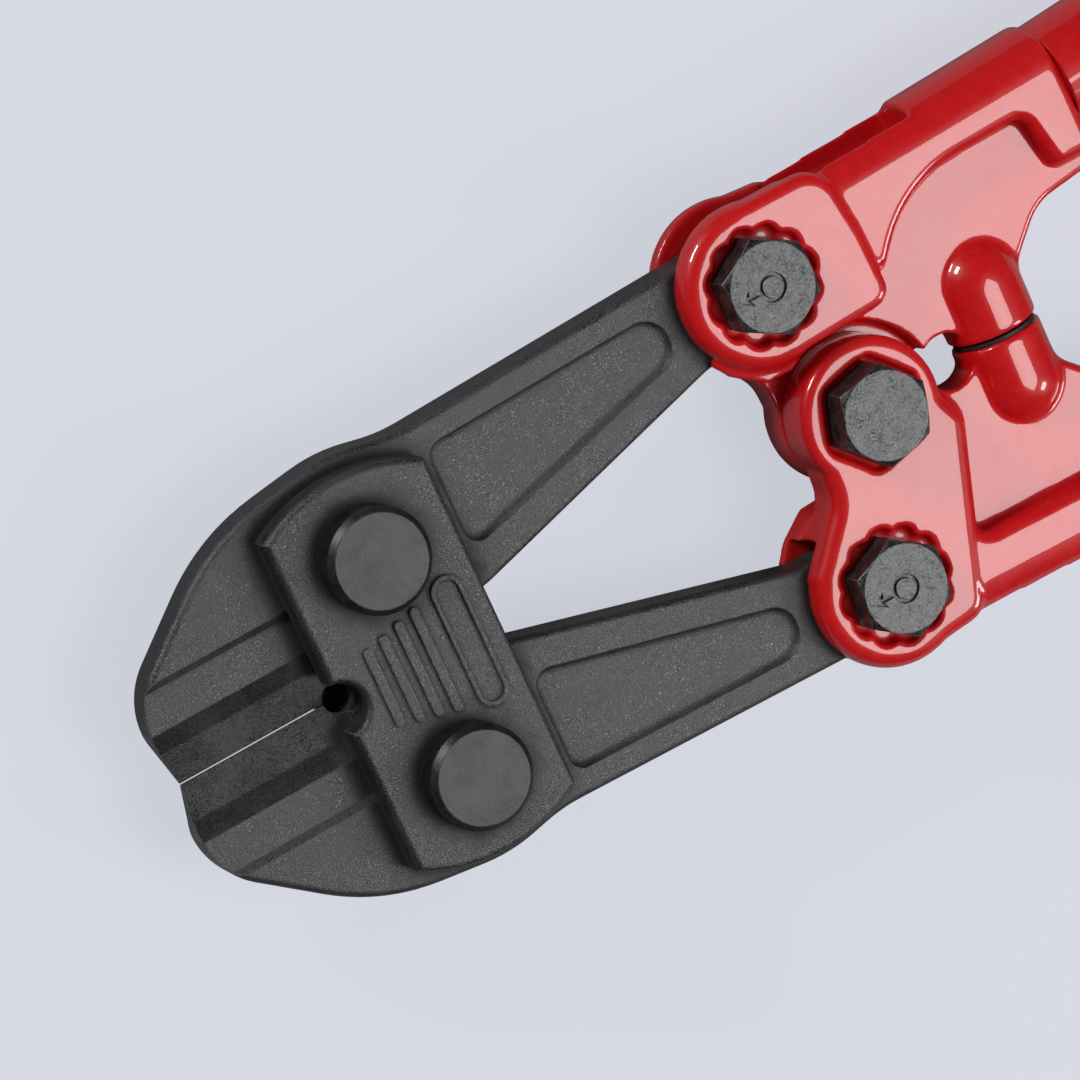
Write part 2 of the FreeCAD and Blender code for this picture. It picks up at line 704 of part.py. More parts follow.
blade = upper_blade()
write("upper_blade", [blade])
write("lower_blade", [flip(blade)])
write("front_link_plate", [front_link_plate()])
write("rear_link_plate", [plate_blank(False).mirror(vec(0, 0), vec(0, 0, 1))])
write("upper_plate_pin", [plate_pin(1)])
write("lower_plate_pin", [plate_pin(-1)])
write("plate_pin_washers", [washer(0, side * pin_offset, -plate_outer_z, washer_radius) for side in (1, -1)])
plate_nut_top = -plate_outer_z - washer_thickness
write("plate_pin_nuts", [nut(0, side * pin_offset, plate_nut_top, nut_height, 90.0) for side in (1, -1)])

write("upper_handle_head", [upper_handle_head()])
write("lower_handle_head", [lower_handle_head()])
write("centre_bolt", [centre_bolt()])
head_nut_top = -face_z - washer_thickness
write("centre_washer", [washer(centre_x, 0, -face_z - side_gap, centre_washer_radius)])
write("centre_nut", [nut(centre_x, 0, head_nut_top - side_gap, centre_nut_height, 0.0)])
write("stop_buffer", [stop_buffer()])

handle_tube = along_handle(tube())
grip, grip_inlays = grip_and_inlays()
grip = along_handle(grip)
grip_inlays = [along_handle(piece) for piece in grip_inlays]
for word, side in (("upper", 1), ("lower", -1)):
    pieces = [handle_tube, grip] + grip_inlays
    if side < 0:
        pieces = [flip(piece) for piece in pieces]
    write(word + "_eccentric_bolt", [eccentric_bolt(side)])
    write(word + "_eccentric_washer", [washer(bolt_x, side * bolt_y, -face_z, washer_radius)])
    write(word + "_eccentric_nut", [nut(bolt_x, side * bolt_y, head_nut_top, nut_height, 15.0)])
    write(word + "_tube", pieces[:1])
    write(word + "_grip", pieces[1:2])
    write(word + "_grip_inlays", pieces[2:])
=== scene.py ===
"""Bolt cutters with red forged handle heads and black jaws.

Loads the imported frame, replaces the two handle heads with softened skins, adds the ribs of the
grips, gives every piece its finish, and sets up the floor, the light and the camera.
"""
from __future__ import annotations

import json
import logging
import math
from dataclasses import dataclass, field, replace
from enum import Enum

import bmesh
import bpy
from bpy.types import Material, Mesh, Node, NodeSocket, NodeTree, Object
from mathutils import Matrix, Vector

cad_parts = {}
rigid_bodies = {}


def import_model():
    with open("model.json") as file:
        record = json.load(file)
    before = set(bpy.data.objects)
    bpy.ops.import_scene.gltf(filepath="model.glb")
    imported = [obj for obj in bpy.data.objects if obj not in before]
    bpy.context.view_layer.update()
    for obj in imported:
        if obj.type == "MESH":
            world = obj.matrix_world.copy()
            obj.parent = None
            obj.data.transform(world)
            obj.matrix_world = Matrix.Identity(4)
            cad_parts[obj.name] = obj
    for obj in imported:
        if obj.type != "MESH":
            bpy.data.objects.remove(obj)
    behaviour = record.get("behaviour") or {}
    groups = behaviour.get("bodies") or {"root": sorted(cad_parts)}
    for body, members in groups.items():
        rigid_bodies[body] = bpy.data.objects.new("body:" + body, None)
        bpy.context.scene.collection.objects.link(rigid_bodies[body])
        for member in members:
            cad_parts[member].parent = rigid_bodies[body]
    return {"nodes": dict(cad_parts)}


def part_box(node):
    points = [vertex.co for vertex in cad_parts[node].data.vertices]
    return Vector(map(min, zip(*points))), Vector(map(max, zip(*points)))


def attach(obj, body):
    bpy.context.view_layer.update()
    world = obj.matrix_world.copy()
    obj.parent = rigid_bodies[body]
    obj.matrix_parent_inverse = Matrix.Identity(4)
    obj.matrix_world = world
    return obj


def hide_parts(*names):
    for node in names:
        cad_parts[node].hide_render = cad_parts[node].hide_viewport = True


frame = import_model()

LOG = logging.getLogger("bolt_cutters")
MM = 0.001
Colour = tuple[float, float, float]


class Side(Enum):
    """The two handles, named as they lie when the tool is closed."""

    UPPER = 1
    LOWER = -1

    @property
    def word(self) -> str:
        """First word of this side's node names."""
        return self.name.lower()

    @property
    def body(self) -> str:
        """The moving body that this side's handle belongs to."""
        return self.word + "_handle"


# --------------------------------------------------------------------------- node trees
class Sketch:
    """Short forms for adding and joining nodes in one tree."""

    MIX_INPUTS: tuple[int, int, int] = (0, 6, 7)    # a Mix node's factor and its two colours
    MIX_RESULT: int = 2

    def __init__(self, tree: NodeTree) -> None:
        """Keep the tree that the nodes go into."""
        self.tree = tree

    def add(self, kind: str, inputs: dict[str | int, object] | None = None,
            **settings: object) -> Node:
        """Add a node, set its properties and feed its inputs.

        Args:
            kind: Blender's node type.
            inputs: value or socket for each input, by name or by number.
            settings: properties of the node itself.

        Returns:
            The new node.
        """
        node = self.tree.nodes.new(kind)
        for name, value in settings.items():
            setattr(node, name, value)
        for key, value in (inputs or {}).items():
            if isinstance(value, NodeSocket):
                self.join(value, node.inputs[key])
            else:
                node.inputs[key].default_value = value
        return node

    def join(self, source: NodeSocket, target: NodeSocket) -> None:
        """Link one socket to another."""
        self.tree.links.new(source, target)

    def math(self, operation: str, first: object, second: object = 0.0,
             clamp: bool = False) -> NodeSocket:
        """Add a Math node.

        Args:
            operation: what it does to its inputs.
            first: value or socket.
            second: value or socket.
            clamp: keep the result between 0 and 1.

        Returns:
            The result's socket.
        """
        settings = {"operation": operation, "use_clamp": clamp}
        return self.add("ShaderNodeMath", {0: first, 1: second}, **settings).outputs[0]

    def times(self, first: object, second: object, clamp: bool = False) -> NodeSocket:
        """Product of two values or sockets."""
        return self.math("MULTIPLY", first, second, clamp)

    def plus(self, first: object, second: object, clamp: bool = False) -> NodeSocket:
        """Sum of two values or sockets."""
        return self.math("ADD", first, second, clamp)

    def minus(self, first: object, second: object) -> NodeSocket:
        """Difference of two values or sockets."""
        return self.math("SUBTRACT", first, second)

    def ramp(self, value: NodeSocket, low: float, high: float,
             to_low: float = 0.0, to_high: float = 1.0) -> NodeSocket:
        """Map a value smoothly from one range to another.

        Args:
            value: the value's socket.
            low: value that gives to_low.
            high: value that gives to_high.
            to_low: result at and below low.
            to_high: result at and above high.

        Returns:
            The result's socket.
        """
        inputs = {"Value": value, "From Min": low, "From Max": high,
                  "To Min": to_low, "To Max": to_high}
        node = self.add("ShaderNodeMapRange", inputs, interpolation_type="SMOOTHSTEP")
        return node.outputs["Result"]

    def noise(self, vector: object, scale: object, detail: float = 2.0,
              rough: float = 0.5) -> NodeSocket:
        """Add a noise texture.

        Args:
            vector: socket with the place on the surface.
            scale: features to the metre, as a value or a socket.
            detail: number of finer layers.
            rough: strength of the finer layers.

        Returns:
            Socket with the noise, from 0 to 1.
        """
        inputs = {"Vector": vector, "Scale": scale, "Detail": detail, "Roughness": rough}
        return self.add("ShaderNodeTexNoise", inputs).outputs["Fac"]

    def mix(self, factor: object, first: object, second: object) -> NodeSocket:
        """Mix two colours.

        Args:
            factor: 0 for the first, 1 for the second.
            first: colour or socket.
            second: colour or socket.

        Returns:
            Socket with the mixed colour.
        """
        node = self.add("ShaderNodeMix", data_type="RGBA")
        for key, value in zip(self.MIX_INPUTS, (factor, first, second)):
            if isinstance(value, NodeSocket):
                self.join(value, node.inputs[key])
            elif isinstance(value, tuple):
                node.inputs[key].default_value = (*value, 1.0)
            else:
                node.inputs[key].default_value = value
        return node.outputs[self.MIX_RESULT]


class Effects:
    """Surface effects that more than one finish uses, each a node group that is built once."""

    FINER: float = 2.7                                # scale of the grain's finer layer
    COARSE_SHARE: float = 0.6                         # share of the coarser layer in the grain
    GRAIN_RANGE: tuple[float, float] = (0.38, 0.62)
    GRAIN_CRISP: float = 0.5                          # share of the crisper form in the height
    TONE_RANGE: tuple[float, float] = (0.32, 0.68)
    RUB_SCALE: float = 900.0                          # breaks in a rubbed edge, to the metre
    RUB_RANGE: tuple[float, float] = (0.3, 0.62)
    # noise and ranges that place the painted shade in the hollows
    PAINTED_SHADE_SCALE: float = 260.0
    PAINTED_SHADE_BORDER: tuple[float, float] = (0.2, 0.8)
    PAINTED_SHADE_RAGGED: float = 0.06                         # how far the painted shade's border wanders
    PAINTED_SHADE_RANGE: tuple[float, float] = (0.5, 0.97)     # openness from fully shaded to unshaded
    BEVEL_SAMPLES: int = 6
    HOLLOW_SAMPLES: int = 8

    def __init__(self) -> None:
        """Build every group."""
        self.grain = self.make_grain()
        self.mottle = self.make_mottle()
        self.edge = self.make_edge()
        self.rings = self.make_rings()
        # painted shade, darkening the hollows that ambient occlusion finds
        self.painted_shade = self.make_painted_shade()

    @staticmethod
    def start(name: str, inputs: dict[str, tuple[str, float]],
              outputs: dict[str, str]) -> tuple[Sketch, Node, Node]:
        """Open a new group.

        Args:
            name: the group's name.
            inputs: for each input its socket type and starting value.
            outputs: for each output its socket type.

        Returns:
            The sketch of the group, its input node and its output node.
        """
        tree = bpy.data.node_groups.new(name, "ShaderNodeTree")
        for label, (kind, value) in inputs.items():
            socket = tree.interface.new_socket(name=label, in_out="INPUT",
                                               socket_type="NodeSocket" + kind)
            if kind == "Float":
                socket.default_value = value
        for label, kind in outputs.items():
            tree.interface.new_socket(name=label, in_out="OUTPUT", socket_type="NodeSocket" + kind)
        sketch = Sketch(tree)
        return sketch, sketch.add("NodeGroupInput"), sketch.add("NodeGroupOutput")

    def make_grain(self) -> NodeTree:
        """Fine grain of a scaled, blasted or moulded skin.

        Returns:
            Group with the inputs Vector and Size, in metres, and the outputs Height and Value.
        """
        inputs = {"Vector": ("Vector", 0.0), "Size": ("Float", 0.5 * MM)}
        outputs = {"Height": "Float", "Value": "Float"}
        sketch, into, out = self.start("surface_grain", inputs, outputs)
        scale = sketch.math("DIVIDE", 1.0, into.outputs["Size"])
        coarse = sketch.noise(into.outputs["Vector"], scale, 3.0, 0.6)
        fine = sketch.noise(into.outputs["Vector"], sketch.times(scale, self.FINER), 2.0, 0.5)
        height = sketch.plus(sketch.times(coarse, self.COARSE_SHARE),
                             sketch.times(fine, 1.0 - self.COARSE_SHARE))
        value = sketch.ramp(height, *self.GRAIN_RANGE)
        sketch.join(value, out.inputs["Value"])
        both = sketch.plus(sketch.times(height, 1.0 - self.GRAIN_CRISP),
                           sketch.times(value, self.GRAIN_CRISP))
        sketch.join(both, out.inputs["Height"])
        return sketch.tree

    def make_mottle(self) -> NodeTree:
        """Cloudy change of tone over the surface.

        Returns:
            Group with the inputs Vector and Size, in metres, and the output Value from 0 to 1.
        """
        inputs = {"Vector": ("Vector", 0.0), "Size": ("Float", 4.0 * MM)}
        sketch, into, out = self.start("mottled_tone", inputs, {"Value": "Float"})
        scale = sketch.math("DIVIDE", 1.0, into.outputs["Size"])
        broad = sketch.noise(into.outputs["Vector"], scale, 4.0, 0.62)
        sketch.join(sketch.ramp(broad, *self.TONE_RANGE), out.inputs["Value"])
        return sketch.tree

    def make_edge(self) -> NodeTree:
        """Eased edges, and where their finish is rubbed.

        Returns:
            Group with the inputs Vector, Radius in metres and Amount, and the outputs Normal and
            Mask.
        """
        inputs = {"Vector": ("Vector", 0.0), "Radius": ("Float", 0.4 * MM),
                  "Amount": ("Float", 3.0)}
        outputs = {"Normal": "Vector", "Mask": "Float"}
        sketch, into, out = self.start("eased_edge", inputs, outputs)
        eased = sketch.add("ShaderNodeBevel", {"Radius": into.outputs["Radius"]},
                           samples=self.BEVEL_SAMPLES)
        plain = sketch.add("ShaderNodeNewGeometry")
        sides = {0: eased.outputs["Normal"], 1: plain.outputs["Normal"]}
        agree = sketch.add("ShaderNodeVectorMath", sides, operation="DOT_PRODUCT").outputs["Value"]
        away = sketch.times(sketch.minus(1.0, agree), into.outputs["Amount"])
        breaks = sketch.noise(into.outputs["Vector"], self.RUB_SCALE, 3.0, 0.6)
        broken = sketch.ramp(breaks, *self.RUB_RANGE)
        sketch.join(eased.outputs["Normal"], out.inputs["Normal"])
        sketch.join(sketch.times(away, broken, clamp=True), out.inputs["Mask"])
        return sketch.tree

    def make_painted_shade(self) -> NodeTree:
        """Painted shade in the hollows, placed by ambient occlusion.

        Returns:
            Group with the inputs Vector and Reach in metres, and the output Mask, 1 in the hollows.
        """
        inputs = {"Vector": ("Vector", 0.0), "Reach": ("Float", 5.0 * MM)}
        sketch, into, out = self.start("hollow_soot", inputs, {"Mask": "Float"})
        # ambient occlusion picks the hollows where shade is painted
        open_sky = sketch.add("ShaderNodeAmbientOcclusion", {"Distance": into.outputs["Reach"]},
                              samples=self.HOLLOW_SAMPLES)
        patches = sketch.noise(into.outputs["Vector"], self.PAINTED_SHADE_SCALE, 3.0, 0.6)
        ragged = sketch.ramp(patches, *self.PAINTED_SHADE_BORDER, -self.PAINTED_SHADE_RAGGED, self.PAINTED_SHADE_RAGGED)
        openness = sketch.plus(open_sky.outputs["AO"], ragged)
        sketch.join(sketch.ramp(openness, *self.PAINTED_SHADE_RANGE, 1.0, 0.0), out.inputs["Mask"])
        return sketch.tree

    def make_rings(self) -> NodeTree:
        """Faint rings that a lathe tool leaves on a face.

        Returns:
            Group with the inputs Vector, measured from the axis, and Pitch in metres, and the
            output Height.
        """
        inputs = {"Vector": ("Vector", 0.0), "Pitch": ("Float", 0.4 * MM)}
        sketch, into, out = self.start("turned_rings", inputs, {"Height": "Float"})
        apart = sketch.add("ShaderNodeSeparateXYZ", {0: into.outputs["Vector"]})
        flat = sketch.add("ShaderNodeCombineXYZ", {0: apart.outputs[0], 1: apart.outputs[1]})
        reach = sketch.add("ShaderNodeVectorMath", {0: flat.outputs[0]}, operation="LENGTH")
        turns = sketch.math("DIVIDE", reach.outputs["Value"], into.outputs["Pitch"])
        cut = sketch.add("ShaderNodeTexNoise", {"W": turns, "Scale": 1.0, "Detail": 2.0},
                         noise_dimensions="1D")
        sketch.join(cut.outputs["Fac"], out.inputs["Height"])
        return sketch.tree


# --------------------------------------------------------------------------- finishes
@dataclass(frozen=True)
class Finish:
    """A surface finish: two tones, a grain, eased edges that may be rubbed, and painted shade in
    the hollows if asked for.
    """

    name: str
    dark: Colour
    light: Colour
    rubbed: Colour
    metallic: float = 0.0
    smooth: float = 0.35
    rough: float = 0.55
    tone_size: float = 4.0 * MM
    grain_size: float = 0.5 * MM
    grain_depth: float = 0.06 * MM
    edge_radius: float = 0.4 * MM
    edge_amount: float = 3.0
    coat: float = 0.0
    coat_roughness: float = 0.03
    specular: float = 0.5
    speckle: float = 0.45
    # strength, near-black tone and reach of the shade painted into the hollows
    painted_shade: float = 0.0
    painted_shade_tone: float = 0.002
    soot_reach: float = 6.0 * MM

    def build(self, effects: Effects) -> Material:
        """Make the material.

        Args:
            effects: the shared node groups.

        Returns:
            The finished material.
        """
        material, sketch, shader, place = self.begin()
        easing = {"Radius": self.edge_radius, "Amount": self.edge_amount}
        edge = self.place_group(sketch, effects.edge, place, easing)
        grain = self.place_group(sketch, effects.grain, place, {"Size": self.grain_size})
        mottle = self.place_group(sketch, effects.mottle, place, {"Size": self.tone_size})
        tone = self.tone(sketch, place, mottle.outputs["Value"], grain.outputs["Value"])
        colour = sketch.mix(tone, self.dark, self.light)
        colour = sketch.mix(edge.outputs["Mask"], colour, self.rubbed)
        roughness = self.roughness(sketch, place, grain.outputs["Value"], mottle.outputs["Value"])
        # painted shade: the colour goes towards a near-black tone in the hollows, and the roughness
        # there rises too
        if self.painted_shade > 0.0:
            painted_shade = self.place_group(sketch, effects.painted_shade, place, {"Reach": self.soot_reach})
            shade_and_dulling = sketch.times(painted_shade.outputs["Mask"], self.painted_shade)
            colour = sketch.mix(shade_and_dulling, colour, grey(self.painted_shade_tone))
            roughness = sketch.plus(roughness, shade_and_dulling, clamp=True)
        sketch.join(colour, shader.inputs["Base Color"])
        sketch.join(roughness, shader.inputs["Roughness"])
        height = self.height(sketch, effects, place, grain.outputs["Height"])
        bump_inputs = {"Height": height, "Strength": 1.0, "Distance": self.grain_depth,
                       "Normal": edge.outputs["Normal"]}
        bump = sketch.add("ShaderNodeBump", bump_inputs)
        sketch.join(bump.outputs["Normal"], shader.inputs["Normal"])
        return material

    def begin(self) -> tuple[Material, Sketch, Node, NodeSocket]:
        """Start the material with its shader's constant values.

        Returns:
            The material, a sketch of its tree, its shader and the socket with the place on the
            object.
        """
        material = bpy.data.materials.new(self.name)
        material.use_nodes = True
        material.diffuse_color = (*self.light, 1.0)
        sketch = Sketch(material.node_tree)
        shader = material.node_tree.nodes["Principled BSDF"]
        constants = {"Metallic": self.metallic, "Coat Weight": self.coat,
                     "Coat Roughness": self.coat_roughness, "Specular IOR Level": self.specular}
        for label, value in constants.items():
            shader.inputs[label].default_value = value
        return material, sketch, shader, sketch.add("ShaderNodeTexCoord").outputs["Object"]

    @staticmethod
    def place_group(sketch: Sketch, group: NodeTree, place: NodeSocket,
                    values: dict[str, float]) -> Node:
        """Place one of the shared groups.

        Args:
            sketch: the material's sketch.
            group: the group to place.
            place: socket with the place on the object.
            values: this material's own values.

        Returns:
            The group node.
        """
        node = sketch.add("ShaderNodeGroup", node_tree=group)
        sketch.join(place, node.inputs["Vector"])
        for label, value in values.items():
            node.inputs[label].default_value = value
        return node

    def tone(self, sketch: Sketch, place: NodeSocket, mottle: NodeSocket,
             grain: NodeSocket) -> NodeSocket:
        """Mask between the two tones.

        Args:
            sketch: the material's sketch.
            place: socket with the place on the object; not used here.
            mottle: broad change of tone.
            grain: fine change of tone.

        Returns:
            Socket with the mask, 0 for dark and 1 for light.
        """
        broad = sketch.times(mottle, 1.0 - self.speckle)
        return sketch.plus(broad, sketch.times(grain, self.speckle))

    def roughness(self, sketch: Sketch, place: NodeSocket, grain: NodeSocket,
                  mottle: NodeSocket) -> NodeSocket:
        """Roughness over the surface.

        Args:
            sketch: the material's sketch.
            place: socket with the place on the object; not used here.
            grain: fine change.
            mottle: broad change.

        Returns:
            Socket with the roughness.
        """
        mean = sketch.plus(sketch.times(mottle, 0.5), sketch.times(grain, 0.5))
        return sketch.ramp(mean, 0.0, 1.0, self.smooth, self.rough)

    def height(self, sketch: Sketch, effects: Effects, place: NodeSocket,
               grain: NodeSocket) -> NodeSocket:
        """Height that the bump follows, here just the grain."""
        return grain


@dataclass(frozen=True)
class JawFinish(Finish):
    """Black forging whose cutting bevels are ground smoother and brighter."""

    bevel_width: float = 10.2 * MM
    bevel_start_x: float = -197.0 * MM
    bevel_blur: float = 0.15 * MM
    start_blur: float = 0.2 * MM
    ground_tone: float = 0.25
    ground_roughness: float = 0.3
    ground_grain: float = 0.25

    def ground(self, sketch: Sketch, place: NodeSocket) -> NodeSocket:
        """Mask of the ground bevels, which lie along the closed cutting edges.

        Args:
            sketch: the material's sketch.
            place: socket with the place on the object.

        Returns:
            Socket with the mask, 1 on the bevels.
        """
        apart = sketch.add("ShaderNodeSeparateXYZ", {0: place})
        from_edge = sketch.math("ABSOLUTE", apart.outputs[1])
        near = sketch.ramp(from_edge, self.bevel_width - self.bevel_blur,
                           self.bevel_width + self.bevel_blur, 1.0, 0.0)
        ahead = sketch.ramp(apart.outputs[0], self.bevel_start_x - self.start_blur,
                            self.bevel_start_x, 1.0, 0.0)
        return sketch.times(near, ahead)

    def tone(self, sketch: Sketch, place: NodeSocket, mottle: NodeSocket,
             grain: NodeSocket) -> NodeSocket:
        """Mask between the two tones, lighter on the ground bevels.

        Args:
            sketch: the material's sketch.
            place: socket with the place on the object.
            mottle: broad change of tone.
            grain: fine change of tone.

        Returns:
            Socket with the mask.
        """
        forged = super().tone(sketch, place, mottle, grain)
        lift = sketch.times(self.ground(sketch, place), self.ground_tone)
        return sketch.plus(forged, lift, clamp=True)

    def roughness(self, sketch: Sketch, place: NodeSocket, grain: NodeSocket,
                  mottle: NodeSocket) -> NodeSocket:
        """Roughness, lower on the ground bevels.

        Args:
            sketch: the material's sketch.
            place: socket with the place on the object.
            grain: fine change.
            mottle: broad change.

        Returns:
            Socket with the roughness.
        """
        forged = super().roughness(sketch, place, grain, mottle)
        drop = sketch.times(self.ground(sketch, place), self.rough - self.ground_roughness)
        return sketch.minus(forged, drop)

    def height(self, sketch: Sketch, effects: Effects, place: NodeSocket,
               grain: NodeSocket) -> NodeSocket:
        """Height of the grain, most of it ground off the bevels.

        Args:
            sketch: the material's sketch.
            effects: the shared node groups; not used here.
            place: socket with the place on the object.
            grain: height of the grain.

        Returns:
            Socket with the height.
        """
        keep = sketch.ramp(self.ground(sketch, place), 0.0, 1.0, 1.0, self.ground_grain)
        return sketch.times(grain, keep)


@dataclass(frozen=True)
class TurnedFinish(Finish):
    """Steel turned on a lathe, with faint rings about its axis."""

    axis: tuple[float, float] = (0.0, 0.0)
    pitch: float = 0.35 * MM
    ring_share: float = 0.6

    def height(self, sketch: Sketch, effects: Effects, place: NodeSocket,
               grain: NodeSocket) -> NodeSocket:
        """Height of the rings with a little grain.

        Args:
            sketch: the material's sketch.
            effects: the shared node groups.
            place: socket with the place on the object.
            grain: height of the grain.

        Returns:
            Socket with the height.
        """
        back = (-self.axis[0], -self.axis[1], 0.0)
        centred = sketch.add("ShaderNodeMapping", {"Vector": place, "Location": back})
        rings = self.place_group(sketch, effects.rings, centred.outputs[0], {"Pitch": self.pitch})
        ringed = sketch.times(rings.outputs["Height"], self.ring_share)
        return sketch.plus(ringed, sketch.times(grain, 1.0 - self.ring_share))


def grey(value: float) -> Colour:
    """A neutral colour."""
    return (value, value, value * 1.02)


FORGED = {
    "dark": grey(0.005), "light": grey(0.030), "rubbed": grey(0.16), "smooth": 0.25, "rough": 0.42,
    "tone_size": 9.0 * MM, "grain_size": 0.4 * MM, "grain_depth": 0.07 * MM,
    # the last value sets how strongly shade is painted into the forgings' hollows
    "edge_radius": 0.5 * MM, "edge_amount": 5.0, "speckle": 0.65, "specular": 0.85, "painted_shade": 0.55}
FORGING = Finish("black_forging", **FORGED)
BLADE = JawFinish("blade_forging", **FORGED)
PAINT = Finish(
    "red_paint", (0.52, 0.004, 0.006), (0.58, 0.006, 0.008), (0.58, 0.008, 0.01),
    smooth=0.3, rough=0.4, tone_size=16.0 * MM, grain_size=2.6 * MM, grain_depth=0.008 * MM,
    edge_radius=0.35 * MM, edge_amount=0.5, coat=1.0, coat_roughness=0.03, specular=0.3)
BOLT = TurnedFinish(
    "bolt_steel", grey(0.008), grey(0.17), grey(0.45), metallic=0.85, smooth=0.28, rough=0.5,
    tone_size=1.8 * MM, grain_size=0.4 * MM, grain_depth=0.04 * MM, edge_radius=0.3 * MM,
    edge_amount=7.0, ring_share=0.2, speckle=0.6)
PIN = TurnedFinish(
    "pin_steel", grey(0.018), grey(0.060), grey(0.2), metallic=0.75, smooth=0.34, rough=0.46,
    tone_size=4.0 * MM, grain_size=0.5 * MM, grain_depth=0.03 * MM, edge_radius=0.4 * MM,
    edge_amount=4.0, pitch=0.6 * MM, ring_share=0.5, speckle=0.4)
RUBBER = Finish(
    "grip_rubber", grey(0.010), grey(0.020), grey(0.035), smooth=0.55, rough=0.8,
    tone_size=12.0 * MM, grain_size=0.45 * MM, grain_depth=0.06 * MM, edge_radius=0.5 * MM,
    edge_amount=1.5)
INLAY = Finish(
    "grip_inlay", (0.26, 0.006, 0.008), (0.34, 0.009, 0.011), (0.38, 0.02, 0.02),
    smooth=0.42, rough=0.6, tone_size=12.0 * MM, grain_size=0.4 * MM, grain_depth=0.035 * MM,
    edge_radius=0.3 * MM, edge_amount=1.0)
BUFFER = Finish(
    "buffer_rubber", grey(0.008), grey(0.016), grey(0.03), smooth=0.5, rough=0.75,
    grain_size=0.35 * MM, grain_depth=0.03 * MM, edge_radius=0.15 * MM, edge_amount=1.0)


class Dresser:
    """Puts a finish on each node and piece, building each material once."""

    def __init__(self) -> None:
        """Build the shared effects."""
        self.effects = Effects()
        self.made: dict[Finish, Material] = {}

    def material(self, finish: Finish) -> Material:
        """Find or build a finish's material.

        Args:
            finish: the finish.

        Returns:
            Its material.
        """
        if finish not in self.made:
            self.made[finish] = finish.build(self.effects)
        return self.made[finish]

    def dress(self, piece: Object, finish: Finish) -> None:
        """Give a piece one finish all over."""
        piece.data.materials.clear()
        piece.data.materials.append(self.material(finish))

    def dress_turned(self, node: str, finish: TurnedFinish) -> None:
        """Dress a turned node, with the rings about its own axis.

        Args:
            node: name of the node.
            finish: the finish, without its axis.
        """
        low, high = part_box(node)
        middle = (Vector(low) + Vector(high)) / 2.0
        own = replace(finish, name=finish.name + "_" + node, axis=(middle.x, middle.y))
        self.dress(frame["nodes"][node], own)


# --------------------------------------------------------------------------- mesh work
WELD_DISTANCE = 0.001 * MM


def welded_copy(node: str, name: str) -> Object:
    """Copy a node's mesh into a new object with its loose triangles joined.

    Args:
        node: name of the node.
        name: name of the new object.

    Returns:
        The new object, at the origin.
    """
    shape = bmesh.new()
    shape.from_mesh(frame["nodes"][node].data)
    bmesh.ops.remove_doubles(shape, verts=shape.verts, dist=WELD_DISTANCE)
    mesh = bpy.data.meshes.new(name)
    shape.to_mesh(mesh)
    shape.free()
    return add_object(name, mesh)


def add_object(name: str, mesh: Mesh) -> Object:
    """Put a mesh in the scene as an object at the origin.

    Args:
        name: name of the object.
        mesh: its mesh.

    Returns:
        The new object.
    """
    piece = bpy.data.objects.new(name, mesh)
    bpy.context.scene.collection.objects.link(piece)
    return piece


def settle(piece: Object) -> None:
    """Turn a piece's modifiers into a plain mesh.

    Args:
        piece: the piece, which keeps no modifiers.
    """
    graph = bpy.context.evaluated_depsgraph_get()
    mesh = bpy.data.meshes.new_from_object(piece.evaluated_get(graph), depsgraph=graph)
    mesh.name = piece.name
    piece.modifiers.clear()
    piece.data = mesh


@dataclass
class ForgedSkin:
    """Outer skin of a painted forging, with its inner corners filled in softly."""

    node: str
    voxel: float = 0.455 * MM
    rounds: int = 9
    strength: float = 0.5

    def build(self) -> Object:
        """Remesh the node's shape evenly and soften it.

        Returns:
            The skin, as a plain mesh.
        """
        piece = welded_copy(self.node, self.node + "_skin")
        remesh = piece.modifiers.new("even", "REMESH")
        remesh.mode = "VOXEL"
        remesh.voxel_size = self.voxel
        remesh.use_smooth_shade = True
        soften = piece.modifiers.new("soften", "SMOOTH")
        soften.factor = self.strength
        soften.iterations = self.rounds
        settle(piece)
        piece.data.shade_smooth()
        return piece


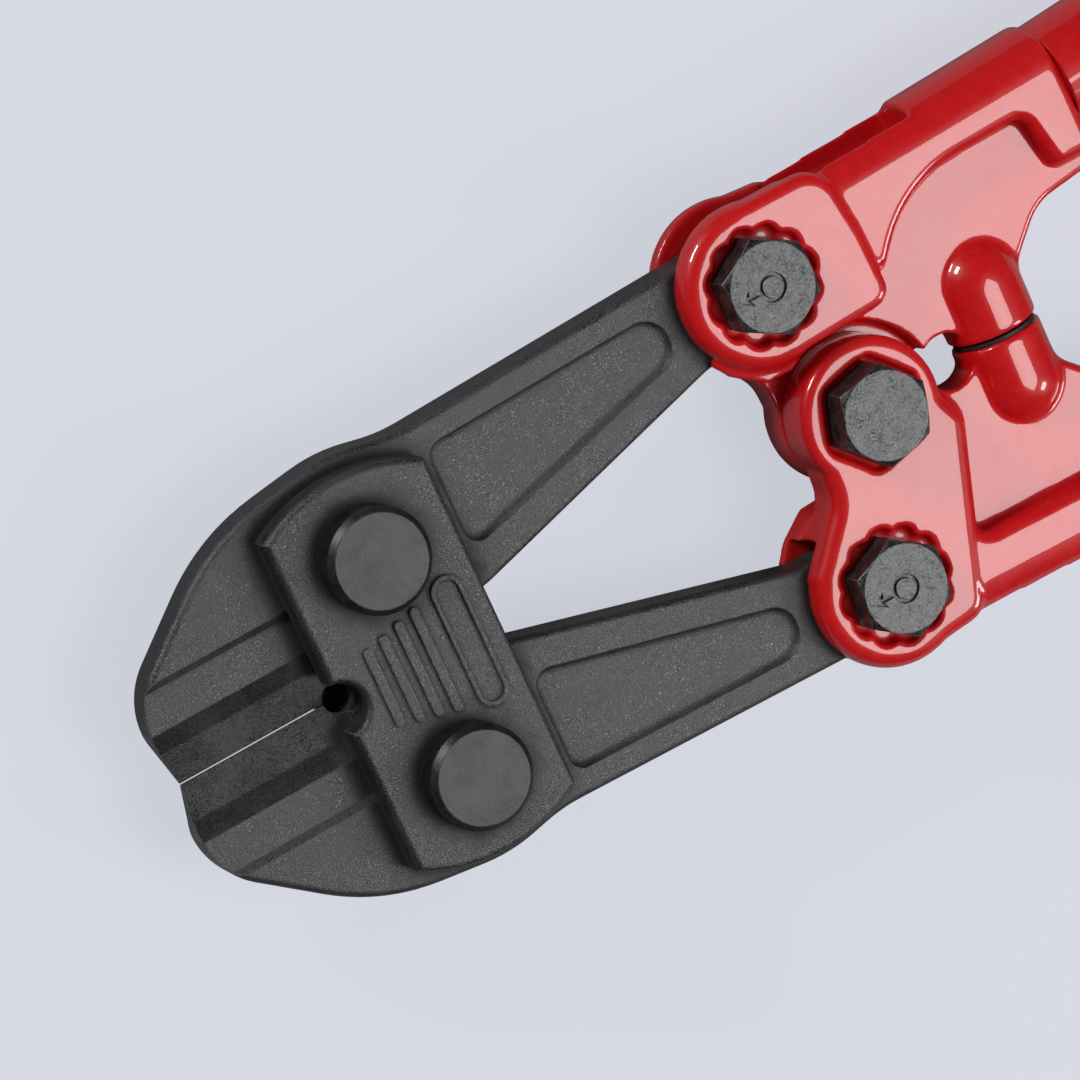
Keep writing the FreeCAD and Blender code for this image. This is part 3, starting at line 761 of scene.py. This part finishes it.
# --------------------------------------------------------------------------- grip ribs
class RibTree:
    """Geometry nodes that set a row of raised ribs round both flanks of a grip."""

    INPUTS: dict[str, str] = {
        "Start": "Float", "Pitch": "Float", "Count": "Int", "Radius": "Float", "Waist": "Float",
        "Rib": "Float", "Sweep": "Float", "Finish": "Material"}
    ARC_POINTS: int = 22
    PROFILE_POINTS: int = 10
    FLANKS: tuple[float, float] = (0.0, math.pi)

    def __init__(self) -> None:
        """Build the tree."""
        self.tree = bpy.data.node_groups.new("grip_ribs", "GeometryNodeTree")
        self.ids: dict[str, str] = {}
        self.socket("Geometry", "INPUT", "Geometry")
        for label, kind in self.INPUTS.items():
            self.ids[label] = self.socket(label, "INPUT", kind)
        self.socket("Geometry", "OUTPUT", "Geometry")
        self.fill()

    def socket(self, label: str, way: str, kind: str) -> str:
        """Give the tree one more input or output.

        Args:
            label: name of the socket.
            way: INPUT or OUTPUT.
            kind: type of the socket.

        Returns:
            The socket's identifier.
        """
        made = self.tree.interface.new_socket(name=label, in_out=way,
                                              socket_type="NodeSocket" + kind)
        return made.identifier

    def flank(self, sketch: Sketch, into: Node, turn: float) -> NodeSocket:
        """One rib on one flank, an arc about the X axis.

        Args:
            sketch: the tree's sketch.
            into: the tree's input node.
            turn: direction of the middle of the rib, in radians.

        Returns:
            Socket with the rib's mesh.
        """
        half = sketch.times(into.outputs["Sweep"], 0.5)
        start = sketch.minus(turn, half)
        arc = sketch.add("GeometryNodeCurveArc", {
            "Resolution": self.ARC_POINTS, "Radius": into.outputs["Waist"], "Start Angle": start,
            "Sweep Angle": into.outputs["Sweep"]})
        profile = sketch.add("GeometryNodeCurvePrimitiveCircle", {
            "Resolution": self.PROFILE_POINTS, "Radius": into.outputs["Rib"]})
        swept = {"Curve": arc.outputs["Curve"], "Profile Curve": profile.outputs["Curve"],
                 "Fill Caps": True}
        return sketch.add("GeometryNodeCurveToMesh", swept).outputs["Mesh"]

    def fill(self) -> None:
        """Add the nodes."""
        sketch = Sketch(self.tree)
        into = sketch.add("NodeGroupInput")
        out = sketch.add("NodeGroupOutput")
        both = sketch.add("GeometryNodeJoinGeometry")
        for turn in self.FLANKS:
            sketch.join(self.flank(sketch, into, turn), both.inputs[0])
        # the arcs are drawn in the XY plane, and stand across the grip once turned
        quarter = math.pi / 2.0
        stand = {"Geometry": both.outputs[0], "Rotation": (quarter, 0.0, quarter)}
        upright = sketch.add("GeometryNodeTransform", stand)
        origin = sketch.add("ShaderNodeCombineXYZ", {0: into.outputs["Start"]})
        step = sketch.add("ShaderNodeCombineXYZ", {0: into.outputs["Pitch"]})
        row = sketch.add("GeometryNodeMeshLine", {
            "Count": into.outputs["Count"], "Start Location": origin.outputs[0],
            "Offset": step.outputs[0]})
        placed = sketch.add("GeometryNodeInstanceOnPoints", {
            "Points": row.outputs["Mesh"], "Instance": upright.outputs[0],
            "Scale": self.swell(sketch, into)})
        real = sketch.add("GeometryNodeRealizeInstances", {0: placed.outputs[0]})
        dressed = sketch.add("GeometryNodeSetMaterial", {
            "Geometry": real.outputs[0], "Material": into.outputs["Finish"]})
        sketch.join(dressed.outputs[0], out.inputs[0])

    @staticmethod
    def swell(sketch: Sketch, into: Node) -> NodeSocket:
        """Scale of each rib, from the waist in the middle to the full radius at both ends.

        Args:
            sketch: the tree's sketch.
            into: the tree's input node.

        Returns:
            Socket with the scale.
        """
        index = sketch.add("GeometryNodeInputIndex").outputs[0]
        last = sketch.minus(into.outputs["Count"], 1.0)
        along = sketch.minus(sketch.times(sketch.math("DIVIDE", index, last), 2.0), 1.0)
        ratio = sketch.math("DIVIDE", into.outputs["Radius"], into.outputs["Waist"])
        wider = sketch.times(sketch.times(along, along), sketch.minus(ratio, 1.0))
        size = sketch.plus(wider, 1.0)
        return sketch.add("ShaderNodeCombineXYZ", {0: 1.0, 1: size, 2: size}).outputs[0]

    def grow(self, name: str, values: dict[str, object]) -> Object:
        """Grow a row of ribs and turn it into a plain mesh.

        Args:
            name: name of the piece.
            values: value of each of the tree's inputs.

        Returns:
            The piece, lying along X.
        """
        piece = add_object(name, bpy.data.meshes.new(name))
        modifier = piece.modifiers.new("ribs", "NODES")
        modifier.node_group = self.tree
        for label, value in values.items():
            modifier[self.ids[label]] = value
        settle(piece)
        return piece


# --------------------------------------------------------------------------- sub-assemblies
@dataclass
class Jaws:
    """The two blades, the link plates that hold them, and the plates' pins and nuts."""

    blades: tuple[str, ...] = ("upper_blade", "lower_blade")
    plates: tuple[str, ...] = ("front_link_plate", "rear_link_plate")
    pins: tuple[str, ...] = ("upper_plate_pin", "lower_plate_pin")
    hardware: tuple[str, ...] = ("plate_pin_washers", "plate_pin_nuts")

    def build(self, dresser: Dresser) -> None:
        """Dress the jaws.

        Args:
            dresser: gives each node its finish.
        """
        for node in self.blades:
            dresser.dress(frame["nodes"][node], BLADE)
        for node in self.plates:
            dresser.dress(frame["nodes"][node], FORGING)
        for node in self.pins:
            dresser.dress_turned(node, PIN)
        for node in self.hardware:
            dresser.dress(frame["nodes"][node], BOLT)


@dataclass
class Handle:
    """One handle: forged head, eccentric bolt, tube, grip with inlays, and the grip's ribs."""

    side: Side
    flare: float = math.radians(4.5)
    seam: tuple[float, float, float] = (-33.0 * MM, 35.9 * MM, 15.2 * MM)
    rib_start: float = 141.8 * MM
    rib_pitch: float = 4.6 * MM
    rib_count: int = 23
    grip_radius: float = 14.45 * MM
    grip_waist: float = 13.35 * MM
    rib_radius: float = 0.75 * MM
    rib_sweep: float = math.radians(104.0)

    def build(self, dresser: Dresser, ribs: RibTree) -> None:
        """Build and dress the handle.

        Args:
            dresser: gives each piece its finish.
            ribs: grows the grip's ribs.
        """
        word = self.side.word
        head = word + "_handle_head"
        skin = ForgedSkin(head).build()
        dresser.dress(skin, PAINT)
        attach(skin, self.side.body)
        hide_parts(head)
        LOG.info("%s has %d faces", skin.name, len(skin.data.polygons))
        dresser.dress(frame["nodes"][word + "_tube"], PAINT)
        dresser.dress(frame["nodes"][word + "_grip"], RUBBER)
        dresser.dress(frame["nodes"][word + "_grip_inlays"], INLAY)
        dresser.dress_turned(word + "_eccentric_bolt", BOLT)
        for last in ("washer", "nut"):
            dresser.dress(frame["nodes"][word + "_eccentric_" + last], BOLT)
        self.add_ribs(dresser, ribs)

    def placement(self) -> Matrix:
        """Where the handle's own axis lies, with its zero at the seam of head and tube.

        Returns:
            Matrix from the handle's axis to the part's frame.
        """
        x, y, z = self.seam
        turn = Matrix.Rotation(self.side.value * self.flare, 4, "Z")
        return Matrix.Translation((x, self.side.value * y, z)) @ turn

    def add_ribs(self, dresser: Dresser, ribs: RibTree) -> None:
        """Set the raised ribs on the grip's flanks.

        Args:
            dresser: gives the ribs their finish.
            ribs: grows them.
        """
        values = {"Start": self.rib_start, "Pitch": self.rib_pitch, "Count": self.rib_count,
                  "Radius": self.grip_radius, "Waist": self.grip_waist, "Rib": self.rib_radius,
                  "Sweep": self.rib_sweep, "Finish": dresser.material(RUBBER)}
        piece = ribs.grow(self.side.word + "_grip_ribs", values)
        piece.data.transform(self.placement())
        piece.data.shade_smooth()
        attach(piece, self.side.body)
        LOG.info("%s has %d faces", piece.name, len(piece.data.polygons))


@dataclass
class CentreJoint:
    """The bolt that joins the two heads, and the rubber stop between them."""

    nodes: tuple[str, ...] = ("centre_washer", "centre_nut")

    def build(self, dresser: Dresser) -> None:
        """Dress the centre joint.

        Args:
            dresser: gives each node its finish.
        """
        dresser.dress_turned("centre_bolt", BOLT)
        for node in self.nodes:
            dresser.dress(frame["nodes"][node], BOLT)
        dresser.dress(frame["nodes"]["stop_buffer"], BUFFER)
        LOG.info("centre joint dressed")


# --------------------------------------------------------------------------- studio
@dataclass(frozen=True)
class SoftBox:
    """A flat lamp that looks at the tool."""

    name: str
    direction: tuple[float, float, float]
    distance: float
    size: tuple[float, float]
    radiance: float
    target: tuple[float, float, float] = (-0.13, 0.0, 0.015)

    def build(self) -> None:
        """Hang the lamp."""
        lamp = bpy.data.lights.new(self.name, "AREA")
        lamp.shape = "RECTANGLE"
        lamp.size, lamp.size_y = self.size
        lamp.energy = self.radiance * math.pi * self.size[0] * self.size[1]
        holder = bpy.data.objects.new(self.name, lamp)
        bpy.context.scene.collection.objects.link(holder)
        aim = Vector(self.direction).normalized()
        holder.location = Vector(self.target) + aim * self.distance
        holder.rotation_euler = aim.to_track_quat("Z", "Y").to_euler()


@dataclass
class Studio:
    """Pale floor, soft light and the camera."""

    camera_right: tuple[float, float, float] = (0.84087, -0.40516, 0.35886)
    camera_up: tuple[float, float, float] = (0.46800, 0.87734, -0.10608)
    camera_place: tuple[float, float, float] = (-0.39088, 0.23165, 0.82642)
    lens: float = 169.31
    backdrop: Colour = (0.665, 0.68, 0.75)
    floor_shade: Colour = (0.30, 0.305, 0.325)
    floor_shadow: Colour = (0.13, 0.132, 0.14)
    floor_glow: float = 0.855
    room: Colour = (0.22, 0.225, 0.24)
    reflected_room: Colour = (0.03, 0.031, 0.034)
    floor_half: float = 4.0
    clip: tuple[float, float] = (0.01, 50.0)
    boxes: tuple[SoftBox, ...] = field(default_factory=lambda: (
        SoftBox("top_box", (0.29, -0.26, 0.92), 1.1, (0.56, 0.56), 6.2),
        SoftBox("key_box", (0.66, -0.58, 0.55), 1.3, (0.34, 0.34), 11.0),
        SoftBox("rim_box", (-0.49, 0.81, 0.34), 1.2, (0.34, 0.16), 42.0)))

    def build(self) -> None:
        """Set up the studio."""
        self.add_camera()
        self.add_floor()
        self.add_world()
        for box in self.boxes:
            box.build()

    def add_camera(self) -> None:
        """Place the camera and make it the scene's."""
        camera = bpy.data.cameras.new("camera")
        camera.lens = self.lens
        camera.clip_start, camera.clip_end = self.clip
        right, up = Vector(self.camera_right), Vector(self.camera_up)
        columns = (right, up, right.cross(up), Vector(self.camera_place))
        matrix = Matrix.Identity(4)
        for column, values in enumerate(columns):
            for row in range(3):
                matrix[row][column] = values[row]
        holder = bpy.data.objects.new("camera", camera)
        holder.matrix_world = matrix
        bpy.context.scene.collection.objects.link(holder)
        bpy.context.scene.camera = holder

    def add_floor(self) -> None:
        """Lay the floor, whose shadows the camera sees softened."""
        half = self.floor_half
        corners = [(x * half, y * half, 0.0) for x, y in ((-1, -1), (1, -1), (1, 1), (-1, 1))]
        mesh = bpy.data.meshes.new("floor")
        mesh.from_pydata(corners, [], [(0, 1, 2, 3)])
        floor = add_object("floor", mesh)
        material = bpy.data.materials.new("floor")
        material.use_nodes = True
        sketch = Sketch(material.node_tree)
        nodes = material.node_tree.nodes
        nodes.remove(nodes["Principled BSDF"])
        matt = sketch.add("ShaderNodeBsdfDiffuse", {"Color": (*self.floor_shade, 1.0)})
        soft = sketch.add("ShaderNodeBsdfDiffuse", {"Color": (*self.floor_shadow, 1.0)})
        glow = sketch.add("ShaderNodeEmission", {"Color": (*self.backdrop, 1.0),
                                                 "Strength": self.floor_glow})
        seen = sketch.add("ShaderNodeAddShader", {0: soft.outputs[0], 1: glow.outputs[0]})
        rays = sketch.add("ShaderNodeLightPath")
        either = sketch.add("ShaderNodeMixShader", {
            0: rays.outputs["Is Camera Ray"], 1: matt.outputs[0], 2: seen.outputs[0]})
        sketch.join(either.outputs[0], nodes["Material Output"].inputs["Surface"])
        mesh.materials.append(material)

    def add_world(self) -> None:
        """Light the room, which gloss shows darker than it is."""
        world = bpy.data.worlds.new("studio")
        world.use_nodes = True
        sketch = Sketch(world.node_tree)
        rays = sketch.add("ShaderNodeLightPath")
        lit = sketch.mix(rays.outputs["Is Glossy Ray"], self.room, self.reflected_room)
        colour = sketch.mix(rays.outputs["Is Camera Ray"], lit, self.backdrop)
        background = world.node_tree.nodes["Background"]
        sketch.join(colour, background.inputs[0])
        scene = bpy.context.scene
        scene.world = world
        scene.view_settings.view_transform = "Standard"


def main() -> None:
    """Build the sub-assemblies in order, then the studio."""
    logging.basicConfig(level=logging.INFO, format="%(name)s: %(message)s")
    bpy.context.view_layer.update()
    dresser = Dresser()
    ribs = RibTree()
    Jaws().build(dresser)
    for side in Side:
        Handle(side).build(dresser, ribs)
    CentreJoint().build(dresser)
    Studio().build()


if __name__ == "__main__":
    main()
